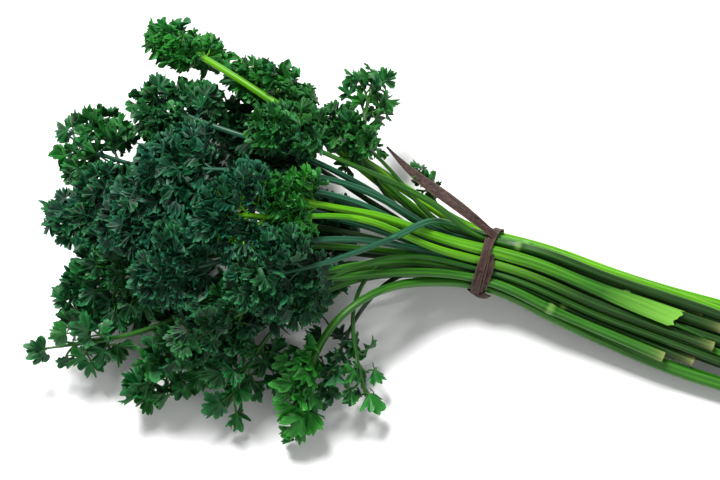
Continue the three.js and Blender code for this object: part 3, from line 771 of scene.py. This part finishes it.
def add_torn_fibre(pile, root, outward):
    """A thread of skin that was left when the sheath was cut."""
    root = root - np.array([0, 2.6, 0.2]) * MM
    droop = bent_line(root, root + outward * 9 * MM, root + outward * 15 * MM - UP * 4 * MM, 12)
    thread, = even_steps(droop, 1.2 * MM)
    taper = np.linspace(0.75, 0.2, len(thread)) * MM
    flat = (np.ones(len(thread)), np.full(len(thread), 0.5))
    add_tube(pile, thread, taper, 8, (0.955, 0.1, 0.995, 0.6), 0, flat=flat)


def stalk_of(number, line, radius, end):
    """A ribbed stalk from its cut end to the leaf's own stem."""
    name = f"stalk_{number:02d}"
    line, radius = line[:end + 2], radius[:end + 2].copy()
    line, radius = even_steps(line, STALK_STEP, radius)
    pile = Pile()
    ribs = 8 if radius[0] > 2.4 * MM else 6
    swell = np.exp(-((line[:, 0] - SWELLINGS.get(number, NOWHERE) * MM) / (2.1 * MM)) ** 2)
    radius = radius * (1 + 0.22 * swell)
    opened = np.clip(1 - lengths_along(line) / (30 * MM), 0, 1) ** 0.7 * (number == SHEATH)
    ring, forward = add_tube(pile, line, radius, ribs * 4, (0, 0, 0.95, 1), 0, folds=4, ribs=ribs, cut=True,
                             flat=(1 + 0.5 * opened, 1 - 0.6 * opened), swelling=swell, opened=opened,
                             torn=1.7 * MM * (number == SHEATH))
    add_cap(pile, ring[0, ::-1], -forward[0], 0, (0.955, 0.0, 0.995, 0.04), radius[0] * 0.5)
    if number == SHEATH:
        add_torn_fibre(pile, line[0], -forward[0])
    made = pile.piece(f"ribbed_{name}", [stalk_material(number)])
    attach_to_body(made, "root")
    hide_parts(name)
    "pale_stalk" if number in PALE else "stalk"


# ---- the tie -------------------------------------------------------------------------------
TIE_HALF = 4.9 * MM  # from the strip's end by the cut stems to the middle of the tie
TURNS = 2.6
FIRST_TURN = 0.28  # where the first turn starts, in turns from the far side
TURN_THICKNESS = 0.8 * MM
LOOSE = 7 * MM  # the strip's loose end is further than this from the middle of the tie
TURN_STEPS, TAIL_STEPS, TUCK_STEPS = 240, 40, 26  # along the turns, the loose end and the other end


def bundle_reach(middle):
    """How far the pressed bundle reaches from its middle, at each angle round the tie."""
    angle = np.linspace(0, 2 * math.pi, 145)
    rays = np.stack([np.cos(angle), np.sin(angle)], 1)
    reach = np.zeros(len(angle))
    for line, radius in lines:
        nearest = np.argmin(np.abs((line - middle) @ TIE_AXIS))
        place = line[nearest] - middle
        flat = np.array([place @ TIE_SIDE, place[2]])
        across = rays @ flat
        off = np.abs(rays @ np.array([-flat[1], flat[0]]))
        over = np.sqrt(np.maximum(radius[nearest] ** 2 - off**2, 0))
        reach = np.maximum(reach, np.where(off < radius[nearest], across + over, 0))
    for _ in range(3):  # pulled tight, it bridges the hollows between the stalks
        wide = np.concatenate([reach[-13:-1], reach, reach[1:13]])
        around = np.array([wide[k:k + 25].mean() for k in range(len(reach))])
        reach = np.maximum(reach, around)
    wide = np.concatenate([reach[-4:-1], reach, reach[1:4]])
    return angle, np.array([wide[k:k + 7].mean() for k in range(len(reach))])


def add_ribbon(pile, line, out, across, width, thick, patch, folds=1, cup=0.0):
    """A fibrous strip along a line: out is the way its face looks and across is its width's way."""
    sides = 30
    angle = np.arange(sides) * 2 * math.pi / sides
    x = np.sign(np.cos(angle)) * np.abs(np.cos(angle)) ** 0.8
    y = np.sin(angle)
    fibre = 0.16 * np.sin(x * 17 + 1.0) + 0.1 * np.sin(x * 31)
    length = lengths_along(line)
    crumple = 0.25 * np.sin(length / MM * 0.9)[:, None] * np.cos(angle * 2)
    height = (y * (1 + fibre) + crumple * np.abs(y)) * thick[:, None] / 2
    bow = cup * (x**2 - 0.4) * width[:, None] / 2
    ring = (line[:, None] + across[:, None] * (x * width[:, None] / 2)[..., None]
            + out[:, None] * (height + bow)[..., None])
    grain = np.empty((*ring.shape[:2], 3))
    grain[..., 0] = x * 1.4
    grain[..., 1] = y * 0.4
    grain[..., 2] = length[:, None] / MM
    wear_and_sheen = np.broadcast_to(np.abs(x) ** 8, ring.shape[:2])
    pile.add(ring[None], strip_corners(len(line), sides, patch, folds), 0, wrapped=True,
             grain=grain[None], rib=wear_and_sheen[None])
    for end, flip in ((ring[0], True), (ring[-1], False)):
        middle = end.mean(0)
        rings = middle + (end - middle)[None] * np.array([1, 0.5, 0.04])[:, None, None]
        rings = rings[:, ::-1] if flip else rings
        corner = np.full((2 * sides, 4, 2), 0.995)
        pile.add(rings[None], corner, 0, wrapped=True, grain=rings[None] / MM, rib=0.6)


def tie_of():
    """The dried strip: its turns round the pressed stalks, its loose end and its tucked end."""
    strip = packed_points("tie_strip")
    middle_x = strip[:, 0].max() - TIE_HALF
    middle = np.mean([line[np.argmin(np.abs(line[:, 0] - middle_x))] for line, _ in lines], 0)
    angle, reach = bundle_reach(middle)
    pile = Pile()

    turn = np.linspace(FIRST_TURN, FIRST_TURN + TURNS, TURN_STEPS)
    round_tie = turn * 2 * math.pi
    layer = np.clip(turn - FIRST_TURN, 0, TURNS)
    ends = np.clip(np.minimum(layer, TURNS - layer) / 0.09, 0, 1)
    far = np.interp(round_tie % (2 * math.pi), angle, reach) + (0.3 + 0.55 * layer - 0.7 * (1 - ends)) * MM
    shift = 1.5 * np.sin(round_tie * 0.62 + 0.6) * MM
    lean = 0.07 * np.sin(round_tie + layer)
    ray = TIE_SIDE * np.cos(round_tie)[:, None] + UP * np.sin(round_tie)[:, None]
    line = middle + ray * far[:, None] + TIE_AXIS * (shift + lean * far)[:, None]
    width = (3.7 - 0.2 * layer + 0.35 * np.sin(round_tie * 1.7)) * (0.2 + 0.8 * ends) * MM
    across = np.broadcast_to(TIE_AXIS, line.shape)
    thick = np.full(len(line), TURN_THICKNESS)
    add_ribbon(pile, line, ray, across, width, thick, (0, 0.3, 1, 1), folds=3, cup=0.35)

    # The loose end lies over the stalks, back towards the leaves.
    loose = strip[strip[:, 0] < middle_x - LOOSE]
    way = unit(loose[np.argmin(loose[:, 0])] - middle)
    way[2] = 0
    way = unit(way)
    along = (loose - middle) @ way
    bins = np.linspace(along.min(), along.max(), 8)
    stations = []
    for k in range(len(bins) - 1):
        own = loose[(along >= bins[k] - 1e-6) & (along <= bins[k + 1] + 1e-6)]
        if len(own) > 3:
            stations.append(own.mean(0))
    stations = np.array(stations)
    start = middle + UP * (np.interp(math.pi / 2, angle, reach) + 0.8 * MM) + TIE_SIDE * 4.5 * MM
    fixed = np.concatenate([[start + TIE_AXIS * 1.5 * MM] * 4, stations, stations[-1:]])
    at = np.concatenate([np.zeros(4), np.linspace(1 / len(stations), 1, len(stations)), [1]])
    even = np.linspace(0, 1, TAIL_STEPS)
    route = np.stack([np.polyval(np.polyfit(at, column, 3), even) for column in fixed.T], 1)
    route, = even_steps(route + UP * (np.sin(math.pi * even) * 0.7 * MM)[:, None], 0.8 * MM)
    _, side, up = directions(route)
    share = np.linspace(0, 1, len(route))
    wide = 4.6 * (0.6 + 0.55 * np.sin(math.pi * np.clip(share * 1.05, 0, 1)) ** 0.9 - 0.4 * share**3) * MM
    thick = np.linspace(0.9, 0.6, len(route)) * MM
    add_ribbon(pile, route, up, side, wide, thick, (0, 0, 0.7, 0.29), folds=2, cup=0.5)

    # The other end is tucked under the turns and folded back at the lower side.
    tuck = 3.62 + 0.35 * np.linspace(-1, 1, TUCK_STEPS)
    ray = TIE_SIDE * np.cos(tuck)[:, None] + UP * np.sin(tuck)[:, None]
    far = np.interp(tuck % (2 * math.pi), angle, reach) + 1.7 * MM
    slide = np.linspace(3.4, -4.2, TUCK_STEPS)[:, None] * MM
    knot = middle + ray * far[:, None] + TIE_AXIS * slide
    knot = knot + ray * (np.sin(np.linspace(0, math.pi, TUCK_STEPS)) * 0.9 * MM)[:, None]
    across = unit(np.cross(unit(np.gradient(knot, axis=0)), ray))
    wide, thick = np.linspace(3.4, 4.4, TUCK_STEPS) * MM, np.full(TUCK_STEPS, 0.9 * MM)
    add_ribbon(pile, knot, ray, across, wide, thick, (0.72, 0, 0.98, 0.29), cup=-0.3)
    made = pile.piece("dried_tie_strip", [STRIP])
    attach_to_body(made, "root")
    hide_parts("tie_strip")


# ---- the bunch -----------------------------------------------------------------------------
lines = []
for sprig in range(1, SPRIGS + 1):
    middles, radii = packed_rings(f"stalk_{sprig:02d}")
    curve = eased(smooth_line(middles))
    thickness = np.interp(lengths_along(curve), lengths_along(curve)[::PARTS], radii) * 0.97
    share = lengths_along(curve) / lengths_along(curve)[-1]
    thickness = thickness * np.interp(share, [0, 0.45, 0.6, 1], [1, 1, 0.92, 0.7])
    curve, thickness = even_steps(curve, LINE_STEP, thickness)
    lines.append((curve, thickness))
for sprig, (curve, thickness) in enumerate(lines, 1):
    stalk_of(sprig, curve, thickness, leaf_of(sprig, curve, thickness))
tie_of()


# ---- table, light and camera ---------------------------------------------------------------
def table_top():
    mesh = bpy.data.meshes.new("table")
    reach = 4.0
    mesh.from_pydata([(-reach, -reach, 0), (reach, -reach, 0), (reach, reach, 0), (-reach, reach, 0)], [],
                     [(0, 1, 2, 3)])
    made = bpy.data.objects.new("table", mesh)
    bpy.context.scene.collection.objects.link(made)
    pale = Finish("pale table")
    mesh.materials.append(pale.shine(Base_Color=(0.86, 0.86, 0.86, 1), Roughness=0.7, Specular_IOR_Level=0.2))


def soft_light(name, place, aim, size, power):
    lamp = bpy.data.lights.new(name, "AREA")
    lamp.shape = "DISK"
    lamp.size = size
    lamp.energy = power
    made = bpy.data.objects.new(name, lamp)
    made.location = place
    made.rotation_euler = (Vector(aim) - Vector(place)).to_track_quat("-Z", "Y").to_euler()
    bpy.context.scene.collection.objects.link(made)


def look(azimuth, elevation, distance, aim, lens):
    made = bpy.data.objects.new("camera", bpy.data.cameras.new("camera"))
    made.data.lens = lens
    turn, rise = math.radians(azimuth), math.radians(elevation)
    way = Vector((math.sin(turn) * math.cos(rise), -math.cos(turn) * math.cos(rise), math.sin(rise)))
    made.location = Vector(aim) + way * distance
    made.rotation_euler = (-way).to_track_quat("-Z", "Y").to_euler()
    bpy.context.scene.collection.objects.link(made)
    bpy.context.scene.camera = made


table_top()
soft_light("high light", (-0.5, 0.5, 1.5), (0, 0, 0), 0.6, 44)
soft_light("front light", (0.7, -1.3, 1.1), (0, 0, 0), 1.4, 8)
world = bpy.data.worlds.new("studio")
world.use_nodes = True
world.node_tree.nodes["Background"].inputs["Color"].default_value = (1, 1, 1, 1)
world.node_tree.nodes["Background"].inputs["Strength"].default_value = 0.42
bpy.context.scene.world = world
bpy.context.scene.view_settings.view_transform = "Standard"
look(8.5, 62, 0.68, (-0.0218, 0.0014, 0.03), 85)
